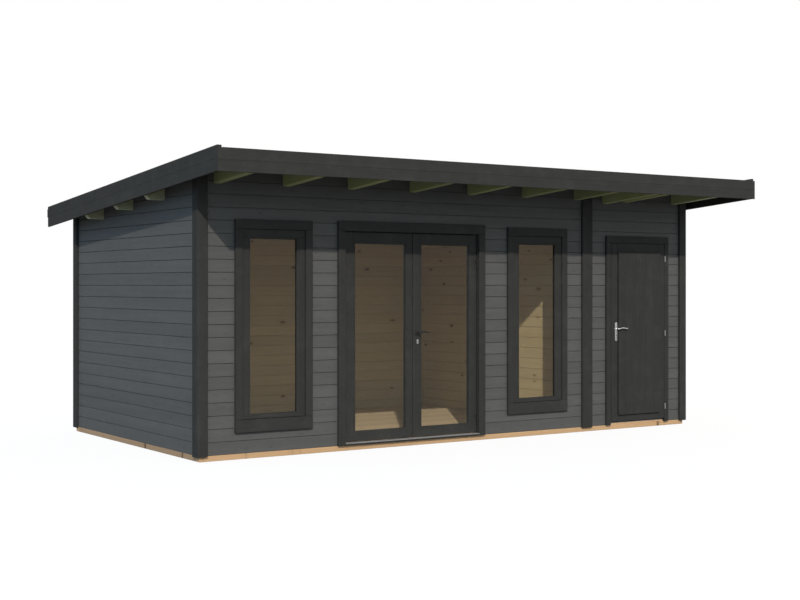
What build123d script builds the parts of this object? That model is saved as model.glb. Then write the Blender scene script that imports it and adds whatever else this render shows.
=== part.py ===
# Garden house: a flat-roofed timber cabin with a main room behind a glazed
# double door and two tall windows, and a narrow store room with its own door.
# Millimetres.  The pieces are laid out first in a wall frame (x = 0 at the
# left wall's outer face, y = 0 at the front wall's outer face, z = 0 on top of
# the base beams) and are written in the part's own frame: origin on the ground
# in the middle of the roof's outline, +X to the right, +Y to the back, +Z up.
from build123d import *
import os

os.makedirs("parts", exist_ok=True)

# ---------------------------------------------------------------- dimensions
LENGTH = 5846.0            # outer face to outer face of the side walls
DEPTH = 3000.0             # outer face to outer face of front and back walls
WALL = 44.0                # log thickness
BASE_H = 48.0              # base beams and joists
BASE_W = 70.0
JOIST_W = 48.0
FLOOR_T = 19.0

PART_X0, PART_X1 = 4380.0, 4424.0      # partition between room and store

SLOPE = 0.0752             # roof falls this much per mm towards the back
Z_SOFFIT = 2513.0          # underside of the roof boards at the front wall
DECK_T = 18.0
FELT_T = 4.0
EAVE_F = 834.0             # front overhang
Y_BACK = 3255.0            # outer face of the back fascia
EAVE_S = 226.0             # side overhang
PURLIN_OVER = 175.0        # purlin ends beyond the side walls
FASCIA_T = 20.0
Z_FASCIA_BOT = 2401.0      # lower edge of the front fascia
VERGE_TOP = 2555.0         # top of the side fascias at the front wall
VERGE_H = 212.0
BATTEN_W = 20.0
BACK_FASCIA_H = 88.0

RAFTER_W = 75.0
RAFTER_D = 141.0
RAFTER_X = [138.0, 822.0, 1505.0, 2196.0, 2884.0, 3568.0, 4262.0, 4660.0,
            4958.0, 5672.0]
DEEP_RAFTER = 7            # the one beside the partition is deeper
DEEP_RAFTER_D = 168.0

PURLIN_Y = [729.0, 1464.0, 2219.0]
PURLIN_W = 70.0
PURLIN_D = 200.0

POST_T = 28.0              # corner and cover boards stand this proud
POST_W = 96.0
POST_SIDE_F = 85.0
POST_SIDE_B = 67.0
MID_POST = (4361.0, 4498.0)

# windows
WIN_CX = [727.0, 3764.0]
WIN_W, WIN_Z0, WIN_Z1 = 780.0, 184.0, 2066.0
TRIM_T = 28.0
WIN_TRIM_W = 73.0
WIN_TRIM_B, WIN_TRIM_H = 113.0, 85.0     # bottom board, head board
LINING = 19.0
INNER_TRIM_W, INNER_TRIM_T = 70.0, 18.0
SASH_Y0, SASH_T = -15.0, 44.0
SASH_STILE_L, SASH_STILE_R = 77.0, 85.0
SASH_RAIL_B, SASH_RAIL_T = 44.0, 83.0
WIN_GLASS_Y0, GLASS_T = 6.0, 4.0

# double door
DD_X0, DD_X1 = 1390.0, 3086.0          # outer edges of its trim
DD_TRIM_W = 77.0
DD_Z1 = 2079.0
DD_HEAD = 94.0
DD_GAP = 6.0
DD_MEET = 5.0
DD_LEAF_Y0, LEAF_T = 12.0, 44.0
DD_LEAF_Z0, DD_LEAF_Z1 = 33.0, 1979.0
DD_GLASS_L = (1593.0, 2158.0)
DD_GLASS_R = (2343.0, 2909.0)
DD_GLASS_Y0 = 18.0
DD_GLASS_Z = (124.0, 1872.0)
DD_HINGE_Z = [175.0, 1700.0]
DD_LEVER = (2293.0, 1028.0)
DD_KEY_Z = 942.0
KEY_R = 11.0               # key plate: round ends this radius, as far apart

# store door
SD_X0, SD_X1 = 4697.0, 5604.0
SD_TRIM_W = 60.0
SD_Z1 = 2009.0
SD_HEAD = 74.0
SD_GAP = 6.0
SD_LEAF_Y0 = -27.0
SD_LEAF_Z0, SD_LEAF_Z1 = 33.0, 1929.0
SD_STILE_L, SD_STILE_R = 89.0, 84.0
SD_PANEL_Z = (104.0, 1832.0)
SD_PANEL_PROUD = 22.0
SD_HINGE_Z = [166.0, 963.0, 1770.0]
SD_LEVER = (4828.0, 1022.0)
SD_LEVER_LEN = 134.0
SD_PLATE = (34.0, 201.0)
SD_PLATE_Z = 990.5

THRESHOLD_T = 20.0
STRIP_T = 6.0

# hinges and levers
KNUCKLE_R = 6.0
PIN_R, PIN_CLEAR = 3.0, 0.25
LEVER_R = 7.0
LEVER_LEN = 122.0
LEVER_OUT = 48.0
SPINDLE_R = 4.5
SPINDLE_HOLE_R = 10.0

OX, OY, OZ = -LENGTH / 2, -(Y_BACK - EAVE_F) / 2, BASE_H


# ------------------------------------------------------------------- helpers
def zu(y):
    """Underside of the roof boards at y."""
    return Z_SOFFIT - SLOPE * y


def box(x0, x1, y0, y1, z0, z1):
    return Pos((x0 + x1) / 2, (y0 + y1) / 2, (z0 + z1) / 2) * Box(
        x1 - x0, y1 - y0, z1 - z0)


def prism_x(points, x0, x1):
    """A (y, z) outline drawn out along x."""
    face = Plane.YZ * make_face(Polyline(*points, close=True))
    return Pos(x0, 0, 0) * extrude(face, amount=x1 - x0)


def prism_y(points, y0, y1):
    """An (x, z) outline drawn out along +y."""
    face = Plane.XZ * make_face(Polyline(*points, close=True))
    return Pos(0, y0, 0) * extrude(face, amount=-(y1 - y0))


def cyl_z(x, y, z0, z1, r):
    return Pos(x, y, (z0 + z1) / 2) * Cylinder(r, z1 - z0)


def cyl_y(x, z, y0, y1, r):
    return Pos(x, (y0 + y1) / 2, z) * Rot(90, 0, 0) * Cylinder(r, y1 - y0)


def cyl_x(y, z, x0, x1, r):
    return Pos((x0 + x1) / 2, y, z) * Rot(0, 90, 0) * Cylinder(r, x1 - x0)


def ring(x0, x1, z0, z1, w, h0, h1, y0, y1):
    """A flat rectangular ring in a wall: w wide at the sides, h0 at the
    bottom and h1 at the top."""
    return box(x0, x1, y0, y1, z0, z1) - box(
        x0 + w, x1 - w, y0 - 1, y1 + 1, z0 + h0, z1 - h1)


def under_roof(x0, x1, y0, y1, z0):
    """An upright block whose top follows the roof's underside."""
    return prism_x([(y0, z0), (y1, z0), (y1, zu(y1)), (y0, zu(y0))], x0, x1)


parts = {}


def add(name, *solids):
    parts[name] = list(solids)


# ---------------------------------------------------------------------- base
B0, B1 = -BASE_H, 0.0
add("base_long_beams",
    box(0, LENGTH, 0, BASE_W, B0, B1),
    box(0, LENGTH, DEPTH - BASE_W, DEPTH, B0, B1))
pm = (PART_X0 + PART_X1) / 2
add("base_cross_beams",
    box(0, BASE_W, BASE_W, DEPTH - BASE_W, B0, B1),
    box(pm - BASE_W / 2, pm + BASE_W / 2, BASE_W, DEPTH - BASE_W, B0, B1),
    box(LENGTH - BASE_W, LENGTH, BASE_W, DEPTH - BASE_W, B0, B1))
joists = []
for xa, xb, n in ((BASE_W, pm - BASE_W / 2, 7),
                  (pm + BASE_W / 2, LENGTH - BASE_W, 3)):
    for i in range(1, n):
        xj = xa + (xb - xa) * i / n
        joists.append(box(xj - JOIST_W / 2, xj + JOIST_W / 2, BASE_W,
                          DEPTH - BASE_W, B0, B1))
add("floor_joists", *joists)
add("floor_boards",
    box(WALL, PART_X0, WALL, DEPTH - WALL, 0, FLOOR_T),
    box(PART_X1, LENGTH - WALL, WALL, DEPTH - WALL, 0, FLOOR_T))

# --------------------------------------------------------------------- roof
purlins = []
for y in PURLIN_Y:
    zb = zu(y) - PURLIN_D
    xe, xr = -PURLIN_OVER, LENGTH + PURLIN_OVER
    p = under_roof(xe, xr, y, y + PURLIN_W, zb)
    # each end is cut back at its lower corner
    p -= prism_y([(xe - 1, zb - 1), (xe + 33, zb - 1), (xe - 1, zb + 33)],
                 y - 1, y + PURLIN_W + 1)
    p -= prism_y([(xr + 1, zb - 1), (xr - 33, zb - 1), (xr + 1, zb + 33)],
                 y - 1, y + PURLIN_W + 1)
    purlins.append(p)
add("purlins", *purlins)

rafters = []
yf = -EAVE_F + FASCIA_T
for i, x in enumerate(RAFTER_X):
    dep = DEEP_RAFTER_D if i == DEEP_RAFTER else RAFTER_D
    rafters.append(prism_x([(yf, zu(yf)), (yf, zu(yf) - dep),
                            (PURLIN_Y[0], zu(PURLIN_Y[0]) - dep),
                            (PURLIN_Y[0], zu(PURLIN_Y[0]))],
                           x, x + RAFTER_W))
add("front_rafters", *rafters)

XL, XR = -EAVE_S, LENGTH + EAVE_S
yb = Y_BACK - FASCIA_T
add("roof_boards", prism_x(
    [(yf, zu(yf)), (yb, zu(yb)), (yb, zu(yb) + DECK_T), (yf, zu(yf) + DECK_T)],
    XL + FASCIA_T, XR - FASCIA_T))
y0, y1 = -EAVE_F, Y_BACK
add("roof_felt", prism_x(
    [(y0, zu(y0) + DECK_T), (y1, zu(y1) + DECK_T),
     (y1, zu(y1) + DECK_T + FELT_T), (y0, zu(y0) + DECK_T + FELT_T)],
    XL + FASCIA_T + BATTEN_W, XR - FASCIA_T - BATTEN_W))
add("front_fascia", prism_x(
    [(y0, Z_FASCIA_BOT), (yf, Z_FASCIA_BOT), (yf, zu(yf) + DECK_T),
     (y0, zu(y0) + DECK_T)], XL, XR))
zbf = zu(yb) + DECK_T - BACK_FASCIA_H
add("back_fascia", prism_x(
    [(yb, zbf), (y1, zbf), (y1, zu(y1) + DECK_T), (yb, zu(yb) + DECK_T)],
    XL, XR))


def verge(x_out, x_in, xb):
    def vt(y):
        return VERGE_TOP - SLOPE * y
    board = prism_x([(yf, vt(yf) - VERGE_H), (yb, vt(yb) - VERGE_H),
                     (yb, vt(yb)), (yf, vt(yf))],
                    min(x_out, x_in), max(x_out, x_in))
    batten = prism_x([(yf, zu(yf) + DECK_T), (yb, zu(yb) + DECK_T),
                      (yb, vt(yb)), (yf, vt(yf))], min(x_in, xb), max(x_in, xb))
    return board + batten


add("left_fascia", verge(XL, XL + FASCIA_T, XL + FASCIA_T + BATTEN_W))
add("right_fascia", verge(XR, XR - FASCIA_T, XR - FASCIA_T - BATTEN_W))


# -------------------------------------------------------------------- walls
def notched(solid, rafters_too=True, purlins_too=False):
    if rafters_too:
        for i, x in enumerate(RAFTER_X):
            dep = DEEP_RAFTER_D if i == DEEP_RAFTER else RAFTER_D
            solid -= prism_x([(-5, zu(-5) + 50), (-5, zu(-5) - dep),
                              (WALL + 5, zu(WALL + 5) - dep),
                              (WALL + 5, zu(WALL + 5) + 50)], x, x + RAFTER_W)
    if purlins_too:
        for y in PURLIN_Y:
            solid -= box(-500, LENGTH + 500, y, y + PURLIN_W,
                         zu(y) - PURLIN_D, zu(y) + 50)
    return solid


DI0, DI1 = DD_X0 + DD_TRIM_W, DD_X1 - DD_TRIM_W     # clear width of the frame
DDO0, DDO1 = DI0 - LINING, DI1 + LINING             # hole in the wall
DD_IN_TOP = DD_Z1 - DD_HEAD
DDO_TOP = DD_IN_TOP + LINING
SI0, SI1 = SD_X0 + SD_TRIM_W, SD_X1 - SD_TRIM_W
SDO0, SDO1 = SI0 - LINING, SI1 + LINING
SD_IN_TOP = SD_Z1 - SD_HEAD
SDO_TOP = SD_IN_TOP + LINING


def window_hole(cx):
    hw = WIN_W / 2 - WIN_TRIM_W + LINING
    return box(cx - hw, cx + hw, -1, WALL + 1,
               WIN_Z0 + WIN_TRIM_B - LINING, WIN_Z1 - WIN_TRIM_H + LINING)


add("front_wall_left",
    notched(under_roof(0, DDO0, 0, WALL, 0)) - window_hole(WIN_CX[0]))
add("front_wall_over_double_door",
    notched(under_roof(DDO0, DDO1, 0, WALL, DDO_TOP)))
add("front_wall_middle",
    notched(under_roof(DDO1, SDO0, 0, WALL, 0)) - window_hole(WIN_CX[1]))
add("front_wall_over_store_door",
    notched(under_roof(SDO0, SDO1, 0, WALL, SDO_TOP)))
add("front_wall_right", notched(under_roof(SDO1, LENGTH, 0, WALL, 0)))
add("left_wall",
    notched(under_roof(0, WALL, WALL, DEPTH - WALL, 0), False, True))
add("right_wall",
    notched(under_roof(LENGTH - WALL, LENGTH, WALL, DEPTH - WALL, 0),
            False, True))
add("back_wall", under_roof(0, LENGTH, DEPTH - WALL, DEPTH, 0))
add("partition_wall",
    notched(under_roof(PART_X0, PART_X1, WALL, DEPTH - WALL, 0), False, True))

PZ = -6.0
corner = []
for sx in (0, 1):
    xo = 0.0 if sx == 0 else LENGTH
    sg = -1 if sx == 0 else 1
    xa, xb_ = sorted((xo + sg * POST_T, xo - sg * (POST_W - POST_T)))
    xc, xd = sorted((xo + sg * POST_T, xo))
    front = under_roof(xa, xb_, -POST_T, 0, PZ) + under_roof(
        xc, xd, -POST_T, POST_SIDE_F, PZ)
    back = under_roof(xa, xb_, DEPTH, DEPTH + POST_T, PZ) + under_roof(
        xc, xd, DEPTH - POST_SIDE_B, DEPTH + POST_T, PZ)
    corner += [front, back]
add("corner_posts", *corner)
add("partition_posts",
    under_roof(MID_POST[0], MID_POST[1], -POST_T, 0, PZ),
    under_roof(MID_POST[0], MID_POST[1], DEPTH, DEPTH + POST_T, PZ))

# ------------------------------------------------------------------ windows
for name, cx in (("left", WIN_CX[0]), ("right", WIN_CX[1])):
    x0, x1 = cx - WIN_W / 2, cx + WIN_W / 2
    fr = ring(x0, x1, WIN_Z0, WIN_Z1, WIN_TRIM_W, WIN_TRIM_B, WIN_TRIM_H,
              -TRIM_T, 0)
    fr += ring(x0 + WIN_TRIM_W - LINING, x1 - WIN_TRIM_W + LINING,
               WIN_Z0 + WIN_TRIM_B - LINING, WIN_Z1 - WIN_TRIM_H + LINING,
               LINING, LINING, LINING, 0, WALL)
    d = WIN_TRIM_W - INNER_TRIM_W
    fr += ring(x0 + d, x1 - d, WIN_Z0 + WIN_TRIM_B - INNER_TRIM_W,
               WIN_Z1 - WIN_TRIM_H + INNER_TRIM_W, INNER_TRIM_W,
               INNER_TRIM_W, INNER_TRIM_W, WALL, WALL + INNER_TRIM_T)
    add(name + "_window_frame", fr)
    sx0, sx1 = x0 + WIN_TRIM_W, x1 - WIN_TRIM_W
    sz0, sz1 = WIN_Z0 + WIN_TRIM_B, WIN_Z1 - WIN_TRIM_H
    add(name + "_window_sash",
        box(sx0, sx1, SASH_Y0, SASH_Y0 + SASH_T, sz0, sz1)
        - box(sx0 + SASH_STILE_L, sx1 - SASH_STILE_R, SASH_Y0 - 1,
              SASH_Y0 + SASH_T + 1, sz0 + SASH_RAIL_B, sz1 - SASH_RAIL_T))
    add(name + "_window_glass",
        box(sx0 + SASH_STILE_L, sx1 - SASH_STILE_R, WIN_GLASS_Y0,
            WIN_GLASS_Y0 + GLASS_T, sz0 + SASH_RAIL_B, sz1 - SASH_RAIL_T))


# -------------------------------------------------------------- door frames
def door_frame(x0, x1, w, z1, head, pockets):
    i0, i1, top = x0 + w, x1 - w, z1 - head
    fr = box(x0, x1, -TRIM_T - 1, 0, 0, z1) - box(
        i0, i1, -TRIM_T - 2, 1, -1, top)
    fr += box(i0 - LINING, i1 + LINING, 0, WALL, 0, top + LINING) - box(
        i0, i1, -1, WALL + 1, -1, top)
    fr += box(i0 - 60, i1 + 60, WALL, WALL + INNER_TRIM_T, FLOOR_T,
              top + 60) - box(i0, i1, WALL - 1, WALL + INNER_TRIM_T + 1, -1,
                              top)
    for pk in pockets:
        fr -= pk
    return fr


HALF = 30.0                # half height of a hinge
dd_ax = [(DI0 + DD_GAP / 2, DD_LEAF_Y0 - 7.0),
         (DI1 - DD_GAP / 2, DD_LEAF_Y0 - 7.0)]
pockets = []
for h in DD_HINGE_Z:
    pockets.append(box(DI0 - 9, DI0 + 1, -8, DD_LEAF_Y0 + 4, h - HALF - 4,
                       h + HALF + 4))
    pockets.append(box(DI1 - 1, DI1 + 9, -8, DD_LEAF_Y0 + 4, h - HALF - 4,
                       h + HALF + 4))
add("double_door_frame",
    door_frame(DD_X0, DD_X1, DD_TRIM_W, DD_Z1, DD_HEAD, pockets))
add("store_door_frame",
    door_frame(SD_X0, SD_X1, SD_TRIM_W, SD_Z1, SD_HEAD, []))


def threshold(x0, x1, y_out, y_in):
    return box(x0, x1, y_out, WALL, 0, THRESHOLD_T) + box(
        x0, x1, y_out - 4, y_in, THRESHOLD_T, THRESHOLD_T + STRIP_T)


add("double_door_threshold", threshold(DI0, DI1, -TRIM_T - 1, 30))
add("store_door_threshold", threshold(SI0, SI1, 0, 30))


# -------------------------------------------------------------------- hinges
def hinge_pair(ax, ay, h, side, leaf_face, frame_plate):
    """One lift-off hinge.  side is +1 where the leaf lies towards +x."""
    leaf = cyl_z(ax, ay, h + 0.5, h + HALF, KNUCKLE_R)
    px0, px1 = sorted((ax, ax + side * 30))
    leaf += box(px0, px1, leaf_face - 3, leaf_face, h + 0.5, h + HALF)
    lx0, lx1 = sorted((ax, ax + side * 6))
    leaf += box(lx0, lx1, ay, leaf_face, h + 0.5, h + HALF)
    leaf -= cyl_z(ax, ay, h, h + HALF - 4, PIN_R + PIN_CLEAR)
    fixed = cyl_z(ax, ay, h - HALF, h, KNUCKLE_R) + frame_plate
    fixed += cyl_z(ax, ay, h, h + HALF - 6, PIN_R)
    return leaf, fixed


fixed_knuckles = []
left_h, right_h, store_h = [], [], []
for h in DD_HINGE_Z:
    ax, ay = dd_ax[0]
    lf, fx = hinge_pair(ax, ay, h, +1, DD_LEAF_Y0,
                        box(DI0 - 9, ax, ay - 5, ay + 5, h - HALF, h))
    left_h.append(lf)
    fixed_knuckles.append(fx)
    ax, ay = dd_ax[1]
    lf, fx = hinge_pair(ax, ay, h, -1, DD_LEAF_Y0,
                        box(ax, DI1 + 9, ay - 5, ay + 5, h - HALF, h))
    right_h.append(lf)
    fixed_knuckles.append(fx)
sd_ax = (SI1 - SD_GAP / 2, SD_LEAF_Y0 - 10.0)
for h in SD_HINGE_Z:
    ax, ay = sd_ax
    pl = box(ax, ax + 34, -TRIM_T - 4, -TRIM_T - 1, h - HALF, h) + box(
        ax, ax + 6, ay, -TRIM_T - 1, h - HALF, h)
    lf, fx = hinge_pair(ax, ay, h, -1, SD_LEAF_Y0, pl)
    store_h.append(lf)
    fixed_knuckles.append(fx)
add("hinge_frame_knuckles", *fixed_knuckles)


# -------------------------------------------------------------- door leaves
def lever(x, z, y_out, y_in, length=LEVER_LEN):
    """Outer and inner grip on one spindle; plate faces at y_out and y_in."""
    a, b = y_out - 0.5, y_in + 0.5
    s = cyl_y(x, z, a - LEVER_OUT, a, LEVER_R)
    s += cyl_x(a - LEVER_OUT + LEVER_R, z, x, x + length, LEVER_R)
    s += cyl_y(x, z, b, b + LEVER_OUT, LEVER_R)
    s += cyl_x(b + LEVER_OUT - LEVER_R, z, x, x + length, LEVER_R)
    s += cyl_y(x, z, a - 5, b + 5, SPINDLE_R)
    return s


# double door, left leaf
LX0, LX1 = DI0 + DD_GAP, (DI0 + DI1) / 2 - DD_MEET / 2
RX0, RX1 = (DI0 + DI1) / 2 + DD_MEET / 2, DI1 - DD_GAP
ly0, ly1 = DD_LEAF_Y0, DD_LEAF_Y0 + LEAF_T
leaf = box(LX0, LX1, ly0, ly1, DD_LEAF_Z0, DD_LEAF_Z1) - box(
    DD_GLASS_L[0], DD_GLASS_L[1], ly0 - 1, ly1 + 1, *DD_GLASS_Z)
add("left_door_leaf", leaf)
add("left_door_glass", box(DD_GLASS_L[0], DD_GLASS_L[1], DD_GLASS_Y0,
                           DD_GLASS_Y0 + GLASS_T, *DD_GLASS_Z))
add("left_door_hinges", *left_h)

leaf = box(RX0, RX1, ly0, ly1, DD_LEAF_Z0, DD_LEAF_Z1) - box(
    DD_GLASS_R[0], DD_GLASS_R[1], ly0 - 1, ly1 + 1, *DD_GLASS_Z)
leaf -= cyl_y(DD_LEVER[0], DD_LEVER[1], ly0 - 1, ly1 + 1, SPINDLE_HOLE_R)
add("right_door_leaf", leaf)
add("right_door_glass", box(DD_GLASS_R[0], DD_GLASS_R[1], DD_GLASS_Y0,
                            DD_GLASS_Y0 + GLASS_T, *DD_GLASS_Z))
add("right_door_hinges", *right_h)

ROSE_R, ROSE_T = 26.0, 8.0


def rose_set(x, z, zk, y_out, y_in):
    out = []
    for ya, yb2 in ((y_out - ROSE_T, y_out), (y_in, y_in + ROSE_T)):
        out.append(cyl_y(x, z, ya, yb2, ROSE_R)
                   - cyl_y(x, z, ya - 1, yb2 + 1, SPINDLE_HOLE_R))
        key = cyl_y(x, zk + KEY_R, ya, yb2, KEY_R) + cyl_y(
            x, zk - KEY_R, ya, yb2, KEY_R)
        key += box(x - KEY_R, x + KEY_R, ya, yb2, zk - KEY_R, zk + KEY_R)
        out.append(key)
    return out


add("right_door_lock", *rose_set(DD_LEVER[0], DD_LEVER[1], DD_KEY_Z, ly0, ly1))
add("right_door_lever",
    lever(DD_LEVER[0], DD_LEVER[1], ly0 - ROSE_T, ly1 + ROSE_T))

# store door: a framed leaf with upright boards standing proud of the frame
SX0, SX1 = SI0 + SD_GAP, SI1 - SD_GAP
sy0, sy1 = SD_LEAF_Y0, SD_LEAF_Y0 + LEAF_T
leaf = box(SX0, SX1, sy0, sy1, SD_LEAF_Z0, SD_LEAF_Z1)
leaf += box(SX0 + SD_STILE_L, SX1 - SD_STILE_R, sy0 - SD_PANEL_PROUD, sy0,
            SD_PANEL_Z[0], SD_PANEL_Z[1])
leaf -= cyl_y(SD_LEVER[0], SD_LEVER[1], sy0 - 1, sy1 + 1, SPINDLE_HOLE_R)
add("store_door_leaf", leaf)
add("store_door_hinges", *store_h)
PW, PH = SD_PLATE
pz = SD_PLATE_Z
plates = []
for ya, yb2 in ((sy0 - ROSE_T, sy0), (sy1, sy1 + ROSE_T)):
    plates.append(box(SD_LEVER[0] - PW / 2, SD_LEVER[0] + PW / 2, ya, yb2,
                      pz - PH / 2, pz + PH / 2)
                  - cyl_y(SD_LEVER[0], SD_LEVER[1], ya - 1, yb2 + 1,
                          SPINDLE_HOLE_R))
add("store_door_lock", *plates)
add("store_door_lever",
    lever(SD_LEVER[0], SD_LEVER[1], sy0 - ROSE_T, sy1 + ROSE_T,
          SD_LEVER_LEN))

# --------------------------------------------------------------------- write
for name, solids in parts.items():
    moved = []
    for s in solids:
        for one in s.solids():
            moved.append(Pos(OX, OY, OZ) * one)
    shape = moved[0] if len(moved) == 1 else Compound(children=moved)
    export_step(shape, "parts/" + name + ".step")
print(len(parts), "nodes")
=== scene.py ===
import math
import random

import bmesh
import bpy
import numpy as np
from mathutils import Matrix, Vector


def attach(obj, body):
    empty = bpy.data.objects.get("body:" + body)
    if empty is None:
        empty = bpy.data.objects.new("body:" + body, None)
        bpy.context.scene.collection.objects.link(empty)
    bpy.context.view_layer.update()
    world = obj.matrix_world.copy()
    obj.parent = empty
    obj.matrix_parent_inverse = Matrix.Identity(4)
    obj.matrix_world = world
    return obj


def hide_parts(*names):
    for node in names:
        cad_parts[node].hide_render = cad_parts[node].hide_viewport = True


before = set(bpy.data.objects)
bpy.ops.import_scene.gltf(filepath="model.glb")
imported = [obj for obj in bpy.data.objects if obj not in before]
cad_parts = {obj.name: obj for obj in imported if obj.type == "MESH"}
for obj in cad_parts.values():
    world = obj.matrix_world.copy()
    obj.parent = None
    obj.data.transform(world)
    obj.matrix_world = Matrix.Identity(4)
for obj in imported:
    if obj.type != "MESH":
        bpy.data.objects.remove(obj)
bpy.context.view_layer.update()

# Everything below is laid out in the wall frame, in millimetres: x = 0 at the
# left wall's outer face, y = 0 at the front wall's outer face, z = 0 on top of
# the base beams.  Piece.build() writes it in the row frame, in metres.
OX, OY, OZ = -2923.0, -1210.5, 48.0
K = 0.0752                       # fall of the roof per mm towards the back
Z_SOFFIT = 2513.0                # underside of the roof boards at y = 0
rnd = random.Random(20611)


def zu(y):
    return Z_SOFFIT - K * y


# ------------------------------------------------------------- mesh builder
def _chamfer_box_faces():
    """Vertices are numbered 3 * corner + axis: each corner has three, and the
    one for an axis lies on the face that this axis points out of."""
    def vid(s, a):
        return 3 * (s[0] * 4 + s[1] * 2 + s[2]) + a
    faces = []
    for a in range(3):
        b, c = [i for i in range(3) if i != a]
        for sa in (0, 1):
            ring = []
            for sb, sc in ((0, 0), (1, 0), (1, 1), (0, 1)):
                s = [0, 0, 0]
                s[a], s[b], s[c] = sa, sb, sc
                ring.append(vid(s, a))
            faces.append(ring)
        for sb in (0, 1):
            for sc in (0, 1):
                lo, hi = [0, 0, 0], [0, 0, 0]
                lo[b] = hi[b] = sb
                lo[c] = hi[c] = sc
                lo[a], hi[a] = 0, 1
                faces.append([vid(lo, b), vid(hi, b), vid(hi, c), vid(lo, c)])
    for i in range(8):
        s = (i // 4, (i // 2) % 2, i % 2)
        faces.append([vid(s, 0), vid(s, 1), vid(s, 2)])
    return faces


CH_FACES = _chamfer_box_faces()
AX = {"x": 0, "y": 1, "z": 2}


class Piece:
    """Collects closed solids and writes them as one mesh."""

    def __init__(self, name, slot, body="house", smooth=False):
        self.name, self.slot, self.body, self.smooth = name, slot, body, smooth
        self.v, self.f, self.fm = [], [], []
        self.wood, self.tone = [], []
        self.mats = []

    def mi(self, key):
        if key not in self.mats:
            self.mats.append(key)
        return self.mats.index(key)

    def solid(self, verts, faces, mat, along="x", warp=None, tone=None,
              pith=None, off=None):
        """mat is a name, or a function of (face normal, face centre)."""
        V = np.array(verts, float)
        lo, hi = V.min(0), V.max(0)
        size = hi - lo
        a = AX[along]
        b, c = [i for i in range(3) if i != a]
        if size[c] > size[b]:
            b, c = c, b
        if off is None:
            off = rnd.uniform(0.0, 60.0)
        if pith is None:
            pith = (rnd.uniform(-0.3, 0.3) * min(size[b], 160.0),
                    rnd.choice((-1, 1)) * rnd.uniform(18.0, 60.0))
        mid = (lo + hi) / 2
        wood = np.stack([V[:, a] / 1000 + off,
                         (V[:, b] - mid[b] - pith[0]) / 1000,
                         (V[:, c] - mid[c] - pith[1]) / 1000], 1)
        if tone is None:
            tone = rnd.random()
        if warp is not None:
            V = warp(V)
        key = {}
        ids = []
        base = len(self.v)
        for i, p in enumerate(V):
            k = (round(p[0], 3), round(p[1], 3), round(p[2], 3))
            if k not in key:
                key[k] = len(self.v)
                self.v.append(p)
                self.wood.append(wood[i])
                self.tone.append(tone)
            ids.append(key[k])
        for f in faces:
            g = []
            for i in f:
                j = ids[i]
                if not g or g[-1] != j:
                    g.append(j)
            if len(g) > 1 and g[0] == g[-1]:
                g.pop()
            if len(g) < 3 or len(set(g)) != len(g):
                if len(set(g)) < 3:
                    continue
                seen = []
                for j in g:
                    if j not in seen:
                        seen.append(j)
                g = seen
            if callable(mat):
                P = [self.v[j] for j in g]
                cen = sum(P) / len(P)
                n = np.zeros(3)
                for i in range(len(P)):
                    n += np.cross(P[i] - cen, P[(i + 1) % len(P)] - cen)
                ln = np.linalg.norm(n)
                if ln < 1e-9:
                    continue
                n = n / ln
                m0 = (lo + hi) / 2
                if np.dot(n, cen - m0) < 0:
                    n = -n
                name = mat(n, cen)
            else:
                name = mat
            self.f.append(g)
            self.fm.append(self.mi(name))
        return base

    def cbox(self, x0, x1, y0, y1, z0, z1, b, mat, along=None, warp=None,
             **kw):
        lo, hi = (x0, y0, z0), (x1, y1, z1)
        size = [hi[i] - lo[i] for i in range(3)]
        b = min(b, min(size) * 0.45)
        if along is None:
            along = "xyz"[size.index(max(size))]
        verts = []
        for i in range(8):
            s = (i // 4, (i // 2) % 2, i % 2)
            for a in range(3):
                p = []
                for k in range(3):
                    e = hi[k] if s[k] else lo[k]
                    if k != a:
                        e += -b if s[k] else b
                    p.append(e)
                verts.append(p)
        self.solid(verts, CH_FACES, mat, along, warp, **kw)

    def rings(self, rings, mat, along="x", warp=None, closed=False, **kw):
        """Rings of equal point count, joined one to the next, with caps."""
        n = len(rings[0])
        verts = [p for r in rings for p in r]
        faces = []
        m = len(rings)
        for i in range(m if closed else m - 1):
            j = (i + 1) % m
            for k in range(n):
                l = (k + 1) % n
                faces.append([i * n + k, i * n + l, j * n + l, j * n + k])
        if not closed:
            faces.append(list(range(n)))
            faces.append([(m - 1) * n + k for k in range(n)])
        self.solid(verts, faces, mat, along, warp, **kw)

    def prism(self, prof, axis, a0, a1, b, mat, along=None, warp=None, **kw):
        """A convex outline drawn along an axis, with b chamfers all round.
        The outline is in the two other axes, in their xyz order."""
        n = len(prof)
        area = sum(prof[i][0] * prof[(i + 1) % n][1]
                   - prof[(i + 1) % n][0] * prof[i][1] for i in range(n))
        if area < 0:
            prof = prof[::-1]
        pts = []
        for i in range(n):
            p, q, r = (np.array(prof[i - 1], float), np.array(prof[i], float),
                       np.array(prof[(i + 1) % n], float))
            d0 = (p - q) / np.linalg.norm(p - q)
            d1 = (r - q) / np.linalg.norm(r - q)
            pts.append(q + d0 * b)
            pts.append(q + d1 * b)
        m = len(pts)
        inner = []
        for i in range(m):
            e0 = pts[i] - pts[i - 1]
            e1 = pts[(i + 1) % m] - pts[i]
            n0 = np.array([-e0[1], e0[0]]) / np.linalg.norm(e0)
            n1 = np.array([-e1[1], e1[0]]) / np.linalg.norm(e1)
            h = n0 + n1
            h /= max(1e-6, np.dot(h, n0))
            inner.append(pts[i] + h * b)
        a = AX[axis]

        def place(ring, s):
            out = []
            for u, w in ring:
                p = [u, w]
                p.insert(a, s)
                out.append(p)
            return out
        self.rings([place(inner, a0), place(pts, a0 + b),
                    place(pts, a1 - b), place(inner, a1)], mat,
                   along or axis, warp, **kw)

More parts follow.
